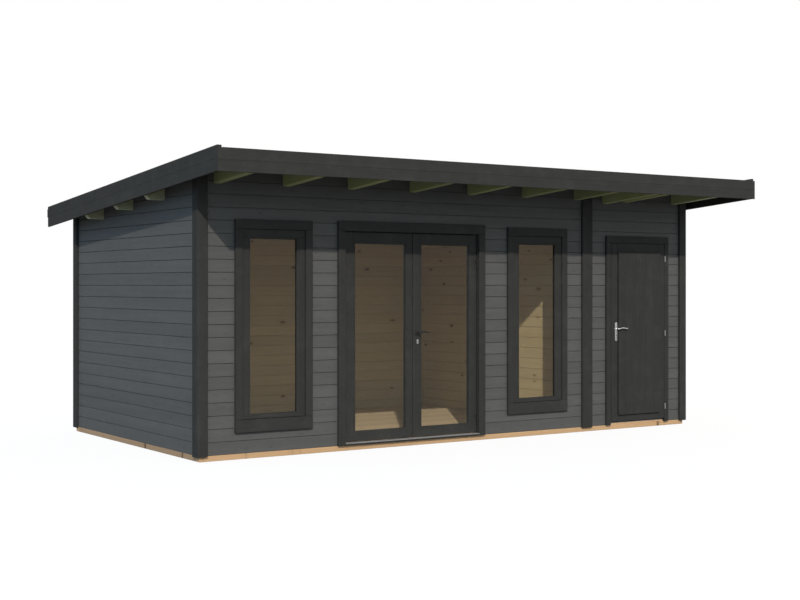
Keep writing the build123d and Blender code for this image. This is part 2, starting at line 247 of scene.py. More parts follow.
    def outline(self, prof, axis, a0, a1, mat, along=None, warp=None, **kw):
        """Any outline drawn along an axis, without chamfers."""
        a = AX[axis]
        rings = []
        for s in (a0, a1):
            ring = []
            for u, w in prof:
                p = [u, w]
                p.insert(a, s)
                ring.append(p)
            rings.append(ring)
        self.rings(rings, mat, along or axis, warp, **kw)

    def cyl(self, axis, c, a0, a1, r, b, mat, n=24, along=None, r2=None, **kw):
        """c is the centre in the two other axes, in their xyz order."""
        a = AX[axis]
        r2 = r if r2 is None else r2
        rings = []
        for s, rr in ((a0, r - b), (a0 + b, r), (a1 - b, r2), (a1, r2 - b)):
            ring = []
            for i in range(n):
                t = 2 * math.pi * i / n
                p = [c[0] + rr * math.cos(t), c[1] + rr * math.sin(t)]
                p.insert(a, s)
                ring.append(p)
            rings.append(ring)
        self.rings(rings, mat, along or axis, **kw)

    def tube(self, path, radii, mat, n=16, squeeze=1.0, **kw):
        """A round bar along a smooth path with rounded ends."""
        P = [Vector(p) for p in path]
        up = Vector((0, 0, 1))
        rings = []
        for i, p in enumerate(P):
            t = (P[min(i + 1, len(P) - 1)] - P[max(i - 1, 0)]).normalized()
            side = t.cross(up)
            if side.length < 1e-4:
                side = Vector((1, 0, 0))
            side.normalize()
            top = side.cross(t).normalized()
            r = radii[i]
            rings.append([list(p + side * (r * squeeze * math.cos(a))
                               + top * (r * math.sin(a)))
                          for a in (2 * math.pi * k / n for k in range(n))])
        self.rings(rings, mat, "x", **kw)

    def ring4(self, x0, x1, z0, z1, ws, hb, ht, y0, y1, b, mat, over="rails",
              gap=0.0):
        """Four boards round an opening; over says which of the stiles and
        rails run through."""
        if over == "rails":
            self.cbox(x0, x1, y0, y1, z0, z0 + hb, b, mat, "x")
            self.cbox(x0, x1, y0, y1, z1 - ht, z1, b, mat, "x")
            self.cbox(x0, x0 + ws, y0, y1, z0 + hb + gap, z1 - ht - gap, b,
                      mat, "z")
            self.cbox(x1 - ws, x1, y0, y1, z0 + hb + gap, z1 - ht - gap, b,
                      mat, "z")
        else:
            self.cbox(x0, x0 + ws, y0, y1, z0, z1, b, mat, "z")
            self.cbox(x1 - ws, x1, y0, y1, z0, z1, b, mat, "z")
            self.cbox(x0 + ws + gap, x1 - ws - gap, y0, y1, z0, z0 + hb, b,
                      mat, "x")
            self.cbox(x0 + ws + gap, x1 - ws - gap, y0, y1, z1 - ht, z1, b,
                      mat, "x")

    def build(self, *nodes):
        V = (np.array(self.v) + np.array([OX, OY, OZ])) / 1000
        me = bpy.data.meshes.new(self.name)
        me.from_pydata([tuple(p) for p in V], [], self.f)
        me.polygons.foreach_set("material_index", self.fm)
        at = me.attributes.new("wood", "FLOAT_VECTOR", "POINT")
        at.data.foreach_set("vector", np.array(self.wood, np.float32).ravel())
        at = me.attributes.new("tone", "FLOAT", "POINT")
        at.data.foreach_set("value", np.array(self.tone, np.float32))
        bm = bmesh.new()
        bm.from_mesh(me)
        bmesh.ops.recalc_face_normals(bm, faces=bm.faces[:])
        bm.to_mesh(me)
        bm.free()
        for m in self.mats:
            me.materials.append(MATS[m])
        if self.smooth:
            me.polygons.foreach_set("use_smooth", [True] * len(me.polygons))
            me.set_sharp_from_angle(angle=math.radians(32))
        me.update()
        ob = bpy.data.objects.new(self.name, me)
        bpy.context.scene.collection.objects.link(ob)
        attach(ob, self.body)
        if nodes:
            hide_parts(*nodes)
        return ob


def slope_all(V):
    W = V.copy()
    W[:, 2] -= K * W[:, 1]
    return W


def slope_top(z_from):
    def f(V):
        W = V.copy()
        k = W[:, 2] > z_from
        W[k, 2] -= K * W[k, 1]
        return W
    return f


# ---------------------------------------------------------------- materials
class Net:
    """A short way to write a node tree."""

    def __init__(self, name):
        self.mat = bpy.data.materials.new(name)
        self.mat.use_nodes = True
        self.t = self.mat.node_tree
        self.t.nodes.clear()
        self.out = self.t.nodes.new("ShaderNodeOutputMaterial")

    def new(self, kind, **props):
        n = self.t.nodes.new(kind)
        for k, v in props.items():
            setattr(n, k, v)
        return n

    def put(self, sock, val):
        if isinstance(val, bpy.types.NodeSocket):
            self.t.links.new(val, sock)
        else:
            sock.default_value = val

    def math(self, op, a, b=0.0, c=0.0, clamp=False):
        n = self.new("ShaderNodeMath", operation=op, use_clamp=clamp)
        self.put(n.inputs[0], a)
        self.put(n.inputs[1], b)
        self.put(n.inputs[2], c)
        return n.outputs[0]

    def vec(self, op, a, b=(0, 0, 0)):
        n = self.new("ShaderNodeVectorMath", operation=op)
        self.put(n.inputs[0], a)
        self.put(n.inputs[1], b)
        return n.outputs["Value" if op in ("LENGTH", "DOT_PRODUCT")
                         else "Vector"]

    def sep(self, v):
        n = self.new("ShaderNodeSeparateXYZ")
        self.put(n.inputs[0], v)
        return n.outputs[0], n.outputs[1], n.outputs[2]

    def com(self, x, y, z):
        n = self.new("ShaderNodeCombineXYZ")
        self.put(n.inputs[0], x)
        self.put(n.inputs[1], y)
        self.put(n.inputs[2], z)
        return n.outputs[0]

    def noise(self, v, scale, detail=2.0, rough=0.5, dist=0.0):
        n = self.new("ShaderNodeTexNoise")
        self.put(n.inputs["Vector"], v)
        n.inputs["Scale"].default_value = scale
        n.inputs["Detail"].default_value = detail
        n.inputs["Roughness"].default_value = rough
        n.inputs["Distortion"].default_value = dist
        return n.outputs[0]

    def ramp(self, f, stops, interp="LINEAR"):
        n = self.new("ShaderNodeValToRGB")
        n.color_ramp.interpolation = interp
        e = n.color_ramp.elements
        e[0].position, e[0].color = stops[0][0], stops[0][1]
        e[1].position, e[1].color = stops[-1][0], stops[-1][1]
        for p, c in stops[1:-1]:
            x = e.new(p)
            x.color = c
        self.put(n.inputs[0], f)
        return n.outputs[0]

    def mix(self, f, a, b, blend="MIX"):
        n = self.new("ShaderNodeMix", data_type="RGBA", blend_type=blend)
        self.put(n.inputs[0], f)
        self.put(n.inputs[6], a)
        self.put(n.inputs[7], b)
        return n.outputs[2]

    def range(self, v, a, b, c=0.0, d=1.0, smooth=True):
        n = self.new("ShaderNodeMapRange",
                     interpolation_type="SMOOTHSTEP" if smooth else "LINEAR")
        self.put(n.inputs["Value"], v)
        n.inputs["From Min"].default_value = a
        n.inputs["From Max"].default_value = b
        n.inputs["To Min"].default_value = c
        n.inputs["To Max"].default_value = d
        return n.outputs[0]

    def attr(self, name):
        n = self.new("ShaderNodeAttribute", attribute_name=name)
        return n.outputs["Vector"] if name == "wood" else n.outputs["Fac"]

    def bump(self, h, dist, strength=1.0, normal=None):
        n = self.new("ShaderNodeBump")
        n.inputs["Strength"].default_value = strength
        n.inputs["Distance"].default_value = dist
        self.put(n.inputs["Height"], h)
        if normal is not None:
            self.put(n.inputs["Normal"], normal)
        return n.outputs[0]

    def finish(self, shader):
        self.put(self.out.inputs["Surface"], shader)
        return self.mat


def rgb(r, g, b):
    return (r, g, b, 1.0)


def wood_nodes(N, ring=0.0042, knots=0.42, knot_r=(0.006, 0.013)):
    """Rings round a wandering pith, fine streaks, and knots about every
    0.4 m, from the attribute that each board carries: (along, across, deep)
    in metres."""
    w = N.attr("wood")
    a, u, d = N.sep(w)
    tone = N.attr("tone")
    # the pith wanders along the board
    lowv = N.com(N.math("MULTIPLY", a, 0.9), N.math("MULTIPLY", tone, 7.0), 0.0)
    wob = N.math("SUBTRACT", N.noise(lowv, 1.0, 1.0), 0.5)
    wob2 = N.math("SUBTRACT", N.noise(N.vec("ADD", lowv, (9.1, 3.3, 1.7)),
                                      1.0, 1.0), 0.5)
    uu = N.math("MULTIPLY_ADD", wob, 0.06, u)
    dd = N.math("MULTIPLY_ADD", wob2, 0.05, d)
    # knots: one per cell along the board, at a hashed place
    cell = N.math("FLOOR", N.math("DIVIDE", a, knots))
    wn = N.new("ShaderNodeTexWhiteNoise", noise_dimensions="2D")
    N.put(wn.inputs["Vector"], N.com(cell, N.math("MULTIPLY", tone, 37.0), 0.0))
    h = N.new("ShaderNodeSeparateColor")
    N.put(h.inputs[0], wn.outputs["Color"])
    h1, h2, h3 = h.outputs[0], h.outputs[1], h.outputs[2]
    ka = N.math("MULTIPLY", N.math("ADD", cell, N.math(
        "MULTIPLY_ADD", h1, 0.6, 0.2)), knots)
    kz = N.math("MULTIPLY", N.math("SUBTRACT", h2, 0.5), 0.085)
    kr = N.math("MULTIPLY_ADD", h3, knot_r[1] - knot_r[0], knot_r[0])
    da = N.math("MULTIPLY", N.math("SUBTRACT", a, ka), 0.5)
    du = N.math("SUBTRACT", u, kz)
    kd = N.math("SQRT", N.math("ADD", N.math("MULTIPLY", da, da),
                               N.math("MULTIPLY", du, du)))
    kn = N.noise(w, 90.0, 2.0)
    kd = N.math("MULTIPLY_ADD", N.math("SUBTRACT", kn, 0.5), 0.004, kd)
    kq = N.math("DIVIDE", kd, kr)
    knot = N.range(kq, 0.85, 1.12, 1.0, 0.0)
    halo = N.range(kq, 1.0, 3.2, 1.0, 0.0)
    kring = N.math("FRACT", N.math("MULTIPLY", kq, 3.3))
    # rings, pushed aside round the knots
    rad = N.math("SQRT", N.math("ADD", N.math("MULTIPLY", uu, uu),
                                N.math("MULTIPLY", dd, dd)))
    rad = N.math("MULTIPLY_ADD", halo, 0.006, rad)
    fine = N.com(N.math("MULTIPLY", a, 1.6), N.math("MULTIPLY", u, 46.0),
                 N.math("MULTIPLY", d, 46.0))
    st = N.noise(fine, 1.0, 3.0, 0.6)
    broad = N.noise(N.com(N.math("MULTIPLY", a, 0.7),
                          N.math("MULTIPLY", u, 13.0),
                          N.math("MULTIPLY", d, 13.0)), 1.0, 2.0)
    fibre = N.noise(N.com(N.math("MULTIPLY", a, 14.0),
                          N.math("MULTIPLY", u, 420.0),
                          N.math("MULTIPLY", d, 420.0)), 1.0, 2.0, 0.6)
    ph = N.math("DIVIDE", rad, ring)
    ph = N.math("MULTIPLY_ADD", st, 1.1, ph)
    saw = N.math("FRACT", ph)
    late = N.math("MULTIPLY", N.math("POWER", saw, 2.4),
                  N.range(saw, 0.9, 1.0, 1.0, 0.0))
    return dict(tone=tone, late=late, streak=st, broad=broad, fibre=fibre,
                knot=knot, halo=halo, kring=kring, w=w, a=a, u=u)


def bare_wood(name, light, dark, knot_col, rough=0.55, tone_amp=0.16,
              ring_amp=0.55, green=None, bump=0.0006, knots=0.42,
              knot_r=(0.006, 0.013), warm_amp=0.3):
    """light and dark are the early and late wood's colours."""
    N = Net(name)
    W = wood_nodes(N, knots=knots, knot_r=knot_r)
    col = N.mix(N.math("MULTIPLY", W["late"], ring_amp), rgb(*light),
                rgb(*dark))
    mid = tuple(0.45 * x + 0.55 * y for x, y in zip(light, dark))
    col = N.mix(N.range(W["broad"], 0.42, 0.72, 0.0, 0.45), col, rgb(*mid))
    # each board has its own depth of colour
    t = N.math("MULTIPLY_ADD", W["tone"], 2 * tone_amp, 1.0 - tone_amp)
    t = N.math("MULTIPLY", t, N.math("MULTIPLY_ADD", W["fibre"], 0.16, 0.92))
    tc = N.com(t, t, t)
    col = N.mix(1.0, col, tc, "MULTIPLY")
    warm = N.range(W["tone"], 0.55, 1.0, 0.0, warm_amp)
    col = N.mix(warm, col, N.mix(1.0, col, rgb(1.06, 0.93, 0.78),
                                 "MULTIPLY"))
    if green is not None:
        gv = N.noise(W["w"], 6.0, 3.0, 0.6)
        col = N.mix(N.range(gv, 0.3, 0.75, 0.25, 0.85), col,
                    N.mix(1.0, col, rgb(*green), "MULTIPLY"))
    kc = N.mix(N.math("MULTIPLY", W["kring"], 0.5), rgb(*knot_col),
               rgb(*(x * 0.55 for x in knot_col)))
    col = N.mix(N.math("MULTIPLY", W["halo"], 0.22), col, rgb(*dark))
    col = N.mix(N.math("MULTIPLY", W["knot"], 0.92), col, kc)
    p = N.new("ShaderNodeBsdfPrincipled")
    N.put(p.inputs["Base Color"], col)
    N.put(p.inputs["Roughness"], N.math("MULTIPLY_ADD", W["late"], -0.1,
                                        rough))
    p.inputs["Specular IOR Level"].default_value = 0.35
    hgt = N.math("ADD", N.math("MULTIPLY", W["late"], 0.5),
                 N.math("MULTIPLY", W["fibre"], 0.35))
    hgt = N.math("MULTIPLY_ADD", W["knot"], 0.4, hgt)
    N.put(p.inputs["Normal"], N.bump(hgt, bump))
    return N.finish(p.outputs[0])


def painted_wood(name, base, rough=0.5, amp=0.06, grain=0.10, bump=0.0007,
                 dust=0.06, spec=0.4):
    """A stained board: the grain and the knots show through the coat."""
    N = Net(name)
    W = wood_nodes(N)
    lo = tuple(x * (1 - grain) for x in base)
    hi = tuple(x * (1 + grain) for x in base)
    s = N.math("ADD", N.math("MULTIPLY", W["late"], 0.55),
               N.math("MULTIPLY", W["streak"], 0.45))
    col = N.mix(s, rgb(*hi), rgb(*lo))
    t = N.math("MULTIPLY_ADD", W["tone"], 2 * amp, 1.0 - amp)
    b = N.range(W["broad"], 0.3, 0.7, 1.0 - amp, 1.0 + amp)
    t = N.math("MULTIPLY", t, b)
    col = N.mix(1.0, col, N.com(t, t, t), "MULTIPLY")
    col = N.mix(N.math("MULTIPLY", W["knot"], 0.30), col,
                rgb(*(x * 0.6 for x in base)))
    # a little pale dust in the broad streaks
    g = N.new("ShaderNodeNewGeometry")
    up = N.sep(g.outputs["Normal"])[2]
    du = N.noise(g.outputs["Position"], 7.0, 4.0, 0.65)
    du = N.math("MULTIPLY", N.range(du, 0.45, 0.75), N.math(
        "MULTIPLY_ADD", up, dust, dust * 0.5, clamp=True))
    col = N.mix(du, col, rgb(0.32, 0.31, 0.28))
    p = N.new("ShaderNodeBsdfPrincipled")
    N.put(p.inputs["Base Color"], col)
    N.put(p.inputs["Roughness"], N.math("MULTIPLY_ADD", W["streak"], 0.16,
                                        rough - 0.08))
    p.inputs["Specular IOR Level"].default_value = spec
    h = N.math("ADD", N.math("MULTIPLY", W["late"], 0.5),
               N.math("MULTIPLY", W["fibre"], 0.3))
    h = N.math("MULTIPLY_ADD", W["knot"], -0.7, h)
    N.put(p.inputs["Normal"], N.bump(h, bump))
    return N.finish(p.outputs[0])


def felt_mat():
    N = Net("roof_felt_granules")
    g = N.new("ShaderNodeNewGeometry")
    pos = g.outputs["Position"]
    v = N.new("ShaderNodeTexVoronoi")
    N.put(v.inputs["Vector"], pos)
    v.inputs["Scale"].default_value = 620.0
    c = N.sep(v.outputs["Color"])[0]
    big = N.noise(pos, 1.3, 4.0, 0.6)
    col = N.mix(c, rgb(0.030, 0.031, 0.034), rgb(0.095, 0.097, 0.102))
    col = N.mix(N.range(big, 0.35, 0.7, 0.0, 0.35), col,
                rgb(0.085, 0.085, 0.083))
    p = N.new("ShaderNodeBsdfPrincipled")
    N.put(p.inputs["Base Color"], col)
    p.inputs["Roughness"].default_value = 0.93
    p.inputs["Specular IOR Level"].default_value = 0.25
    h = N.math("MULTIPLY_ADD", v.outputs["Distance"], -1.0, 1.0)
    n1 = N.bump(h, 0.0012)
    N.put(p.inputs["Normal"], N.bump(N.noise(pos, 5.0, 3.0), 0.004, 0.6, n1))
    return N.finish(p.outputs[0])


def metal_mat(name, base, rough, spread=0.06, streak=None):
    N = Net(name)
    g = N.new("ShaderNodeNewGeometry")
    pos = g.outputs["Position"]
    n = N.noise(pos, 130.0, 3.0, 0.6)
    if streak is not None:
        n2 = N.noise(N.vec("MULTIPLY", pos, streak), 1.0, 3.0, 0.6)
    else:
        n2 = N.noise(pos, 700.0, 2.0, 0.5)
    p = N.new("ShaderNodeBsdfPrincipled")
    N.put(p.inputs["Base Color"], N.mix(
        N.range(n, 0.3, 0.75), rgb(*base), rgb(*(x * 0.93 for x in base))))
    p.inputs["Metallic"].default_value = 1.0
    N.put(p.inputs["Roughness"], N.math(
        "MULTIPLY_ADD", N.math("ADD", n, n2), spread, rough - spread))
    N.put(p.inputs["Normal"], N.bump(n2, 0.00006))
    return N.finish(p.outputs[0])


def rubber_mat():
    N = Net("seal_rubber")
    g = N.new("ShaderNodeNewGeometry")
    n = N.noise(g.outputs["Position"], 60.0, 3.0, 0.6)
    p = N.new("ShaderNodeBsdfPrincipled")
    N.put(p.inputs["Base Color"], N.mix(n, rgb(0.012, 0.012, 0.012),
                                        rgb(0.026, 0.026, 0.026)))
    p.inputs["Roughness"].default_value = 0.7
    p.inputs["Specular IOR Level"].default_value = 0.3
    N.put(p.inputs["Normal"], N.bump(n, 0.0002))
    return N.finish(p.outputs[0])


def glass_mat():
    N = Net("clear_glass")
    g = N.new("ShaderNodeNewGeometry")
    sm = N.noise(g.outputs["Position"], 1.7, 3.0, 0.55)
    # the same on both faces of the pane, so that it lets the sun through
    lw = N.new("ShaderNodeLayerWeight")
    lw.inputs["Blend"].default_value = 0.5
    face = N.math("POWER", lw.outputs["Facing"], 5.0)
    face = N.math("MULTIPLY_ADD", face, 0.95, 0.045, clamp=True)
    tr = N.new("ShaderNodeBsdfTransparent")
    N.put(tr.inputs["Color"], N.mix(sm, rgb(0.955, 0.962, 0.955),
                                    rgb(0.94, 0.95, 0.945)))
    gl = N.new("ShaderNodeBsdfGlossy")
    gl.inputs["Color"].default_value = rgb(0.97, 0.98, 1.0)
    N.put(gl.inputs["Roughness"], N.range(sm, 0.3, 0.8, 0.004, 0.02))
    N.put(gl.inputs["Normal"], N.bump(sm, 0.0008, 0.5))
    mx = N.new("ShaderNodeMixShader")
    N.put(mx.inputs[0], face)
    N.put(mx.inputs[1], tr.outputs[0])
    N.put(mx.inputs[2], gl.outputs[0])
    return N.finish(mx.outputs[0])


# a near-black coat that stands in as painted shade for the keyhole's opening
def dark_mat():
    N = Net("keyhole_painted_shade")
    g = N.new("ShaderNodeNewGeometry")
    n = N.noise(g.outputs["Position"], 300.0)
    p = N.new("ShaderNodeBsdfPrincipled")
    N.put(p.inputs["Base Color"], N.mix(n, rgb(0.004, 0.004, 0.004),
                                        rgb(0.012, 0.012, 0.012)))
    p.inputs["Roughness"].default_value = 0.8
    return N.finish(p.outputs[0])


WALL_C = (0.098, 0.0985, 0.0965)
TRIM_C = (0.0398, 0.0400, 0.0382)
MATS = {
    "wall": painted_wood("wall_stain", WALL_C, 0.62, 0.045, 0.12, spec=0.08),
    "trim": painted_wood("trim_stain", TRIM_C, 0.58, 0.035, 0.10, spec=0.03),
    "pine": bare_wood("bare_pine", (0.71, 0.58, 0.335), (0.53, 0.37, 0.172),
                      (0.30, 0.17, 0.085), knots=1.4, tone_amp=0.06,
                      knot_r=(0.010, 0.018), warm_amp=0.12),
    "floor": bare_wood("floor_pine", (0.84, 0.67, 0.44), (0.61, 0.43, 0.23),
                      (0.28, 0.155, 0.075), rough=0.5, tone_amp=0.1,
                      knots=0.9),
    "base": bare_wood("base_pine", (0.66, 0.43, 0.24), (0.44, 0.255, 0.12),
                      (0.13, 0.06, 0.025), tone_amp=0.08),
    "beam": bare_wood("beam_pine", (0.42, 0.43, 0.235), (0.30, 0.285, 0.135),
                      (0.16, 0.125, 0.06), tone_amp=0.10,
                      green=(0.90, 1.0, 0.82), knots=2.6),
    "beam_end": bare_wood("beam_pine_pale", (0.42, 0.42, 0.30),
                          (0.31, 0.295, 0.19), (0.16, 0.125, 0.08),
                          tone_amp=0.10, green=(0.92, 1.0, 0.88), knots=2.6),
    "felt": felt_mat(),
    "alu": metal_mat("aluminium_mill", (0.86, 0.86, 0.85), 0.38, 0.08,
                     (3.0, 500.0, 500.0)),
    "chrome": metal_mat("hardware_satin", (0.93, 0.93, 0.93), 0.24, 0.04),
    "steel": metal_mat("hardware_dark_steel", (0.085, 0.083, 0.08), 0.5, 0.05),
    # near black, far darker than the trim stain: painted shade on the inner
    # stops' faces round the glass, which lie in shade behind the pane
    "shadow_paint": painted_wood("inner_bead_painted_shade", (0.012, 0.0125, 0.012),
                                 0.7, 0.035, 0.10, spec=0.05),
    # a copy of the base pine about two thirds as bright, used on the cross
    # beams
    "base_side": bare_wood("base_pine_side", (0.43, 0.28, 0.165),
                           (0.29, 0.17, 0.085), (0.10, 0.05, 0.022),
                           tone_amp=0.05),
    "white_metal": metal_mat("hardware_bright", (0.97, 0.97, 0.97), 0.42, 0.05),
    "rubber": rubber_mat(),
    "glass": glass_mat(),
    "dark": dark_mat(),
}


def faced(out_mat, in_mat, axis=1, sign=-1, limit=0.35):
    """out_mat on the faces that look out, in_mat on the rest."""
    def f(n, c):
        return out_mat if n[axis] * sign > limit else in_mat
    return f


def inner_faced(out_mat, in_mat):
    """in_mat only on the faces that look into the house."""
    def f(n, c):
        return in_mat if n[1] > 0.6 else out_mat
    return f


# --------------------------------------------------------------------- base
BI = 0.0
P = Piece("base_beams", "base_pine")
P.cbox(BI, 5846 - BI, BI, 70, -48, 0, 3, "base", "x")
P.cbox(BI, 5846 - BI, 2930, 3000 - BI, -48, 0, 3, "base", "x")
for x0, x1 in ((BI, 70), (4367, 4437), (5776, 5846 - BI)):
    P.cbox(x0, x1, 70, 2930, -48, 0, 3, "base_side", "y")
P.build("base_long_beams", "base_cross_beams")

P = Piece("floor_joist_set", "base_pine")
for xa, xb, n in ((70, 4367, 7), (4437, 5776, 3)):
    for i in range(1, n):
        xj = xa + (xb - xa) * i / n
        P.cbox(xj - 24, xj + 24, 70, 2930, -48, 0, 2, "base", "y")
P.build("floor_joists")

P = Piece("floor_planks", "floor_pine")
for x0, x1 in ((52, 4372), (4432, 5794)):
    y, w = 52.0, 96.5
    while y < 2948 - 20:
        y1 = min(y + w, 2948.0)
        P.cbox(x0, x1, y, y1, 0, 19, 1.6, "floor", "x")
        y = y1
P.build("floor_boards")


# -------------------------------------------------------------------- walls
PITCH = 114.0
PURLIN_Y = [729.0, 1464.0, 2219.0]
RAFTER_X = [138.0, 822.0, 1505.0, 2196.0, 2884.0, 3568.0, 4262.0, 4660.0,
            4958.0, 5672.0]


def log_profile(z0, z1):
    return [(0, z0 + 4), (3, z0 + 1.5), (12, z0 + 1.5), (12, z0), (32, z0),
            (32, z0 + 1.5), (41, z0 + 1.5), (44, z0 + 4), (44, z1 - 4),
            (41, z1 - 1.5), (32, z1 - 1.5), (32, z1), (12, z1),
            (12, z1 - 1.5), (3, z1 - 1.5), (0, z1 - 4)]


def log_seg(P, place, cuts, z0, z1, zb, top, outer, inner, along, off, pith,
            tone):
    """One stretch of a log.  place(a, c, z) gives x, y, z; cuts are the
    stations along it; zb and top(a, c) clip its height."""
    prof = log_profile(z0, z1)
    rings = []
    for a in cuts:
        rings.append([place(a, c, min(max(z, zb), top(a, c)))
                      for c, z in prof])
    n = len(prof)
    ref = place(0.0, 0.0, 0.0)
    ref2 = place(0.0, 1.0, 0.0)
    ax = 0 if abs(ref2[0] - ref[0]) > 0.5 else 1
    sg = ref2[ax] - ref[ax]

    def mat(nrm, cen):
        c = (cen[ax] - ref[ax]) * sg
        return outer if c < 12.5 else inner
    P.rings(rings, mat, along, off=off, pith=pith, tone=tone)


def courses(top):
    zs = [PITCH * i for i in range(int(top // PITCH) + 1)]
    if top - zs[-1] > 30:
        zs.append(top)
    else:
        zs[-1] = top
    return list(zip(zs[:-1], zs[1:]))


def front_like(P, x0, x1, place, holes, notches, top_z, y_of_c, outer, inner):
    """A wall along x.  holes are (x0, x1, z0, z1); notches (x0, x1, depth
    below the roof)."""
    for z0, z1 in courses(top_z):
        marks = {x0, x1}
        for h in holes:
            if h[2] < z1 and h[3] > z0:
                marks |= {h[0], h[1]}
        for q in notches:
            if z1 > top_z - q[2] - 5:
                marks |= {q[0], q[1]}
        marks = sorted(m for m in marks if x0 <= m <= x1)
        spans = []
        for a, b in zip(marks[:-1], marks[1:]):
            m = (a + b) / 2
            zs = [(z0, None)]
            dep = 0.0
            for q in notches:
                if q[0] < m < q[1]:
                    dep = q[2]
            lim = [(z0, z1)]
            for h in holes:
                if h[0] < m < h[1]:
                    nl = []
                    for lo, hi in lim:
                        if h[2] > lo:
                            nl.append((lo, min(hi, h[2])))
                        if h[3] < hi:
                            nl.append((max(lo, h[3]), hi))
                    lim = [t for t in nl if t[1] - t[0] > 1.0]
            key = (tuple(lim), dep)
            if spans and spans[-1][2] == key:
                spans[-1][1] = b
            else:
                spans.append([a, b, key])
        off = rnd.uniform(0, 60)
        pith = (rnd.uniform(-34, 34), rnd.uniform(24, 60))
        tone = rnd.random()
        zc = (z0 + z1) / 2
        for a, b, (lim, dep) in spans:
            for lo, hi in lim:
                def top(s, c, hi=hi, dep=dep):
                    return min(hi, zu(y_of_c(c)) - dep)
                if top(0, 0) - lo < 2:
                    continue
                mid = (lo + min(hi, top(0, 22))) / 2
                log_seg(P, place, [a, b], z0, z1, lo, top, outer, inner, "x",
                        off, (pith[0] + zc - mid, pith[1]), tone)


def side_like(P, y0, y1, place, outer, inner):
    """A wall along y whose top follows the roof, with room for purlins."""
    for z0, z1 in courses(zu(y0)):
        marks = {y0, y1}
        ycross = (Z_SOFFIT - z1) / K
        yend = (Z_SOFFIT - z0 - 2.0) / K
        for m in (ycross, yend):
            if y0 < m < y1:
                marks.add(m)
        for py in PURLIN_Y:
            if z1 > zu(py) - 200:
                marks |= {py, py + 70}
        marks = sorted(m for m in marks if y0 <= m <= min(y1, max(yend, y0)))
        spans = []
        for a, b in zip(marks[:-1], marks[1:]):
            m = (a + b) / 2
            lim = None
            for py in PURLIN_Y:
                if py < m < py + 70:
                    lim = zu(py) - 200
            if spans and spans[-1][2] == lim:
                spans[-1][1].append(b)
            else:
                spans.append([a, [a, b], lim])
        off = rnd.uniform(0, 60)
        pith = (rnd.uniform(-34, 34), rnd.uniform(24, 60))
        tone = rnd.random()
        for a, cuts, lim in spans:
            def top(s, c, lim=lim):
                return min(z1, zu(s)) if lim is None else min(z1, zu(s), lim)
            if max(top(s, 0) for s in cuts) - z0 < 2.1:
                continue
            log_seg(P, place, cuts, z0, z1, z0, top, outer, inner, "y", off,
                    pith, tone)


holes = [(391, 1063, 278, 2000), (3428, 4100, 278, 2000),
         (1448, 3028, -1, 2004), (4738, 5563, -1, 1954)]
notches = [(x, x + 75.0, 168.0 if i == 7 else 141.0)
           for i, x in enumerate(RAFTER_X)]
P = Piece("front_wall_logs", "wall_paint")
front_like(P, 0.0, 5846.0, lambda a, c, z: (a, c, z), holes, notches, 2513.0,
           lambda c: c, "wall", "pine")
P.build("front_wall_left", "front_wall_over_double_door", "front_wall_middle",
        "front_wall_over_store_door", "front_wall_right")

P = Piece("back_wall_logs", "wall_paint")
front_like(P, 0.0, 5846.0, lambda a, c, z: (a, 3000 - c, z), [], [],
           zu(2956.0), lambda c: 3000 - c, "wall", "pine")
P.build("back_wall")

P = Piece("left_wall_logs", "wall_paint")
side_like(P, 44.0, 2956.0, lambda a, c, z: (c, a, z), "wall", "pine")
P.build("left_wall")

P = Piece("right_wall_logs", "wall_paint")
side_like(P, 44.0, 2956.0, lambda a, c, z: (5846 - c, a, z), "wall", "pine")
P.build("right_wall")

P = Piece("partition_logs", "bare_pine")
side_like(P, 44.0, 2956.0, lambda a, c, z: (4380 + c, a, z), "pine", "pine")
P.build("partition_wall")

# corner boards and the cover boards in line with the partition
P = Piece("corner_boards", "trim_paint")
TOPW = slope_top(1000)
for s in (0, 1):
    def X(a, b):
        return (a, b) if s == 0 else (5846 - b, 5846 - a)
    xa, xb = X(-28, 68)
    P.cbox(xa, xb, -28, 0, -6, 2513, 3, "trim", "z", TOPW)
    xa, xb = X(-28, 0)
    P.cbox(xa, xb, 0, 85, -6, 2513, 3, "trim", "z", TOPW)
    xa, xb = X(-28, 68)
    P.cbox(xa, xb, 3000, 3028, -6, 2513, 3, "trim", "z", TOPW)
    xa, xb = X(-28, 0)
    P.cbox(xa, xb, 2933, 3000, -6, 2513, 3, "trim", "z", TOPW)
P.build("corner_posts")

P = Piece("cover_boards", "trim_paint")
for y0, y1 in ((-28, 0), (3000, 3028)):
    P.cbox(4361, 4498, y0, y1, -6, 2513, 3, "trim", "z", TOPW)
P.build("partition_posts")

# --------------------------------------------------------------------- roof
P = Piece("purlin_beams", "treated_pine")
for py in PURLIN_Y:
    zb = zu(py) - 200
    zt = zu(py)
    prof = [(-142, zb), (5988, zb), (6021, zb + 33), (6021, zt), (-175, zt),
            (-175, zb + 33)]

    def warp(V, py=py, zt=zt):
        W = V.copy()
        k = W[:, 2] > zt - 50
        W[k, 2] -= K * (W[k, 1] - py)
        return W
    P.prism(prof, "y", py, py + 70, 3, "beam_end", "x", warp)
P.build("purlins")

P = Piece("front_rafter_set", "treated_pine")
for i, x in enumerate(RAFTER_X):
    dep = 168 if i == 7 else 141
    P.cbox(x, x + 75, -814, 729, Z_SOFFIT - dep, Z_SOFFIT, 3, "beam", "y",
           slope_all)
P.build("front_rafters")

P = Piece("roof_board_set", "bare_pine")
nb = 65
wb = 6258.0 / nb
for i in range(nb):
    x0, x1 = -206 + wb * i, -206 + wb * (i + 1)
    if x1 <= 30 or x0 >= 5816:
        P.cbox(x0, x1, -814, 3235, 2513, 2531, 3, "trim", "y", slope_all)
    else:
        P.cbox(x0, x1, -814, 22, 2513, 2531, 3, "trim", "y", slope_all)
        P.cbox(x0, x1, 22, 2978, 2513, 2531, 3, "pine", "y", slope_all)
        P.cbox(x0, x1, 2978, 3235, 2513, 2531, 3, "trim", "y", slope_all)
P.build("roof_boards")

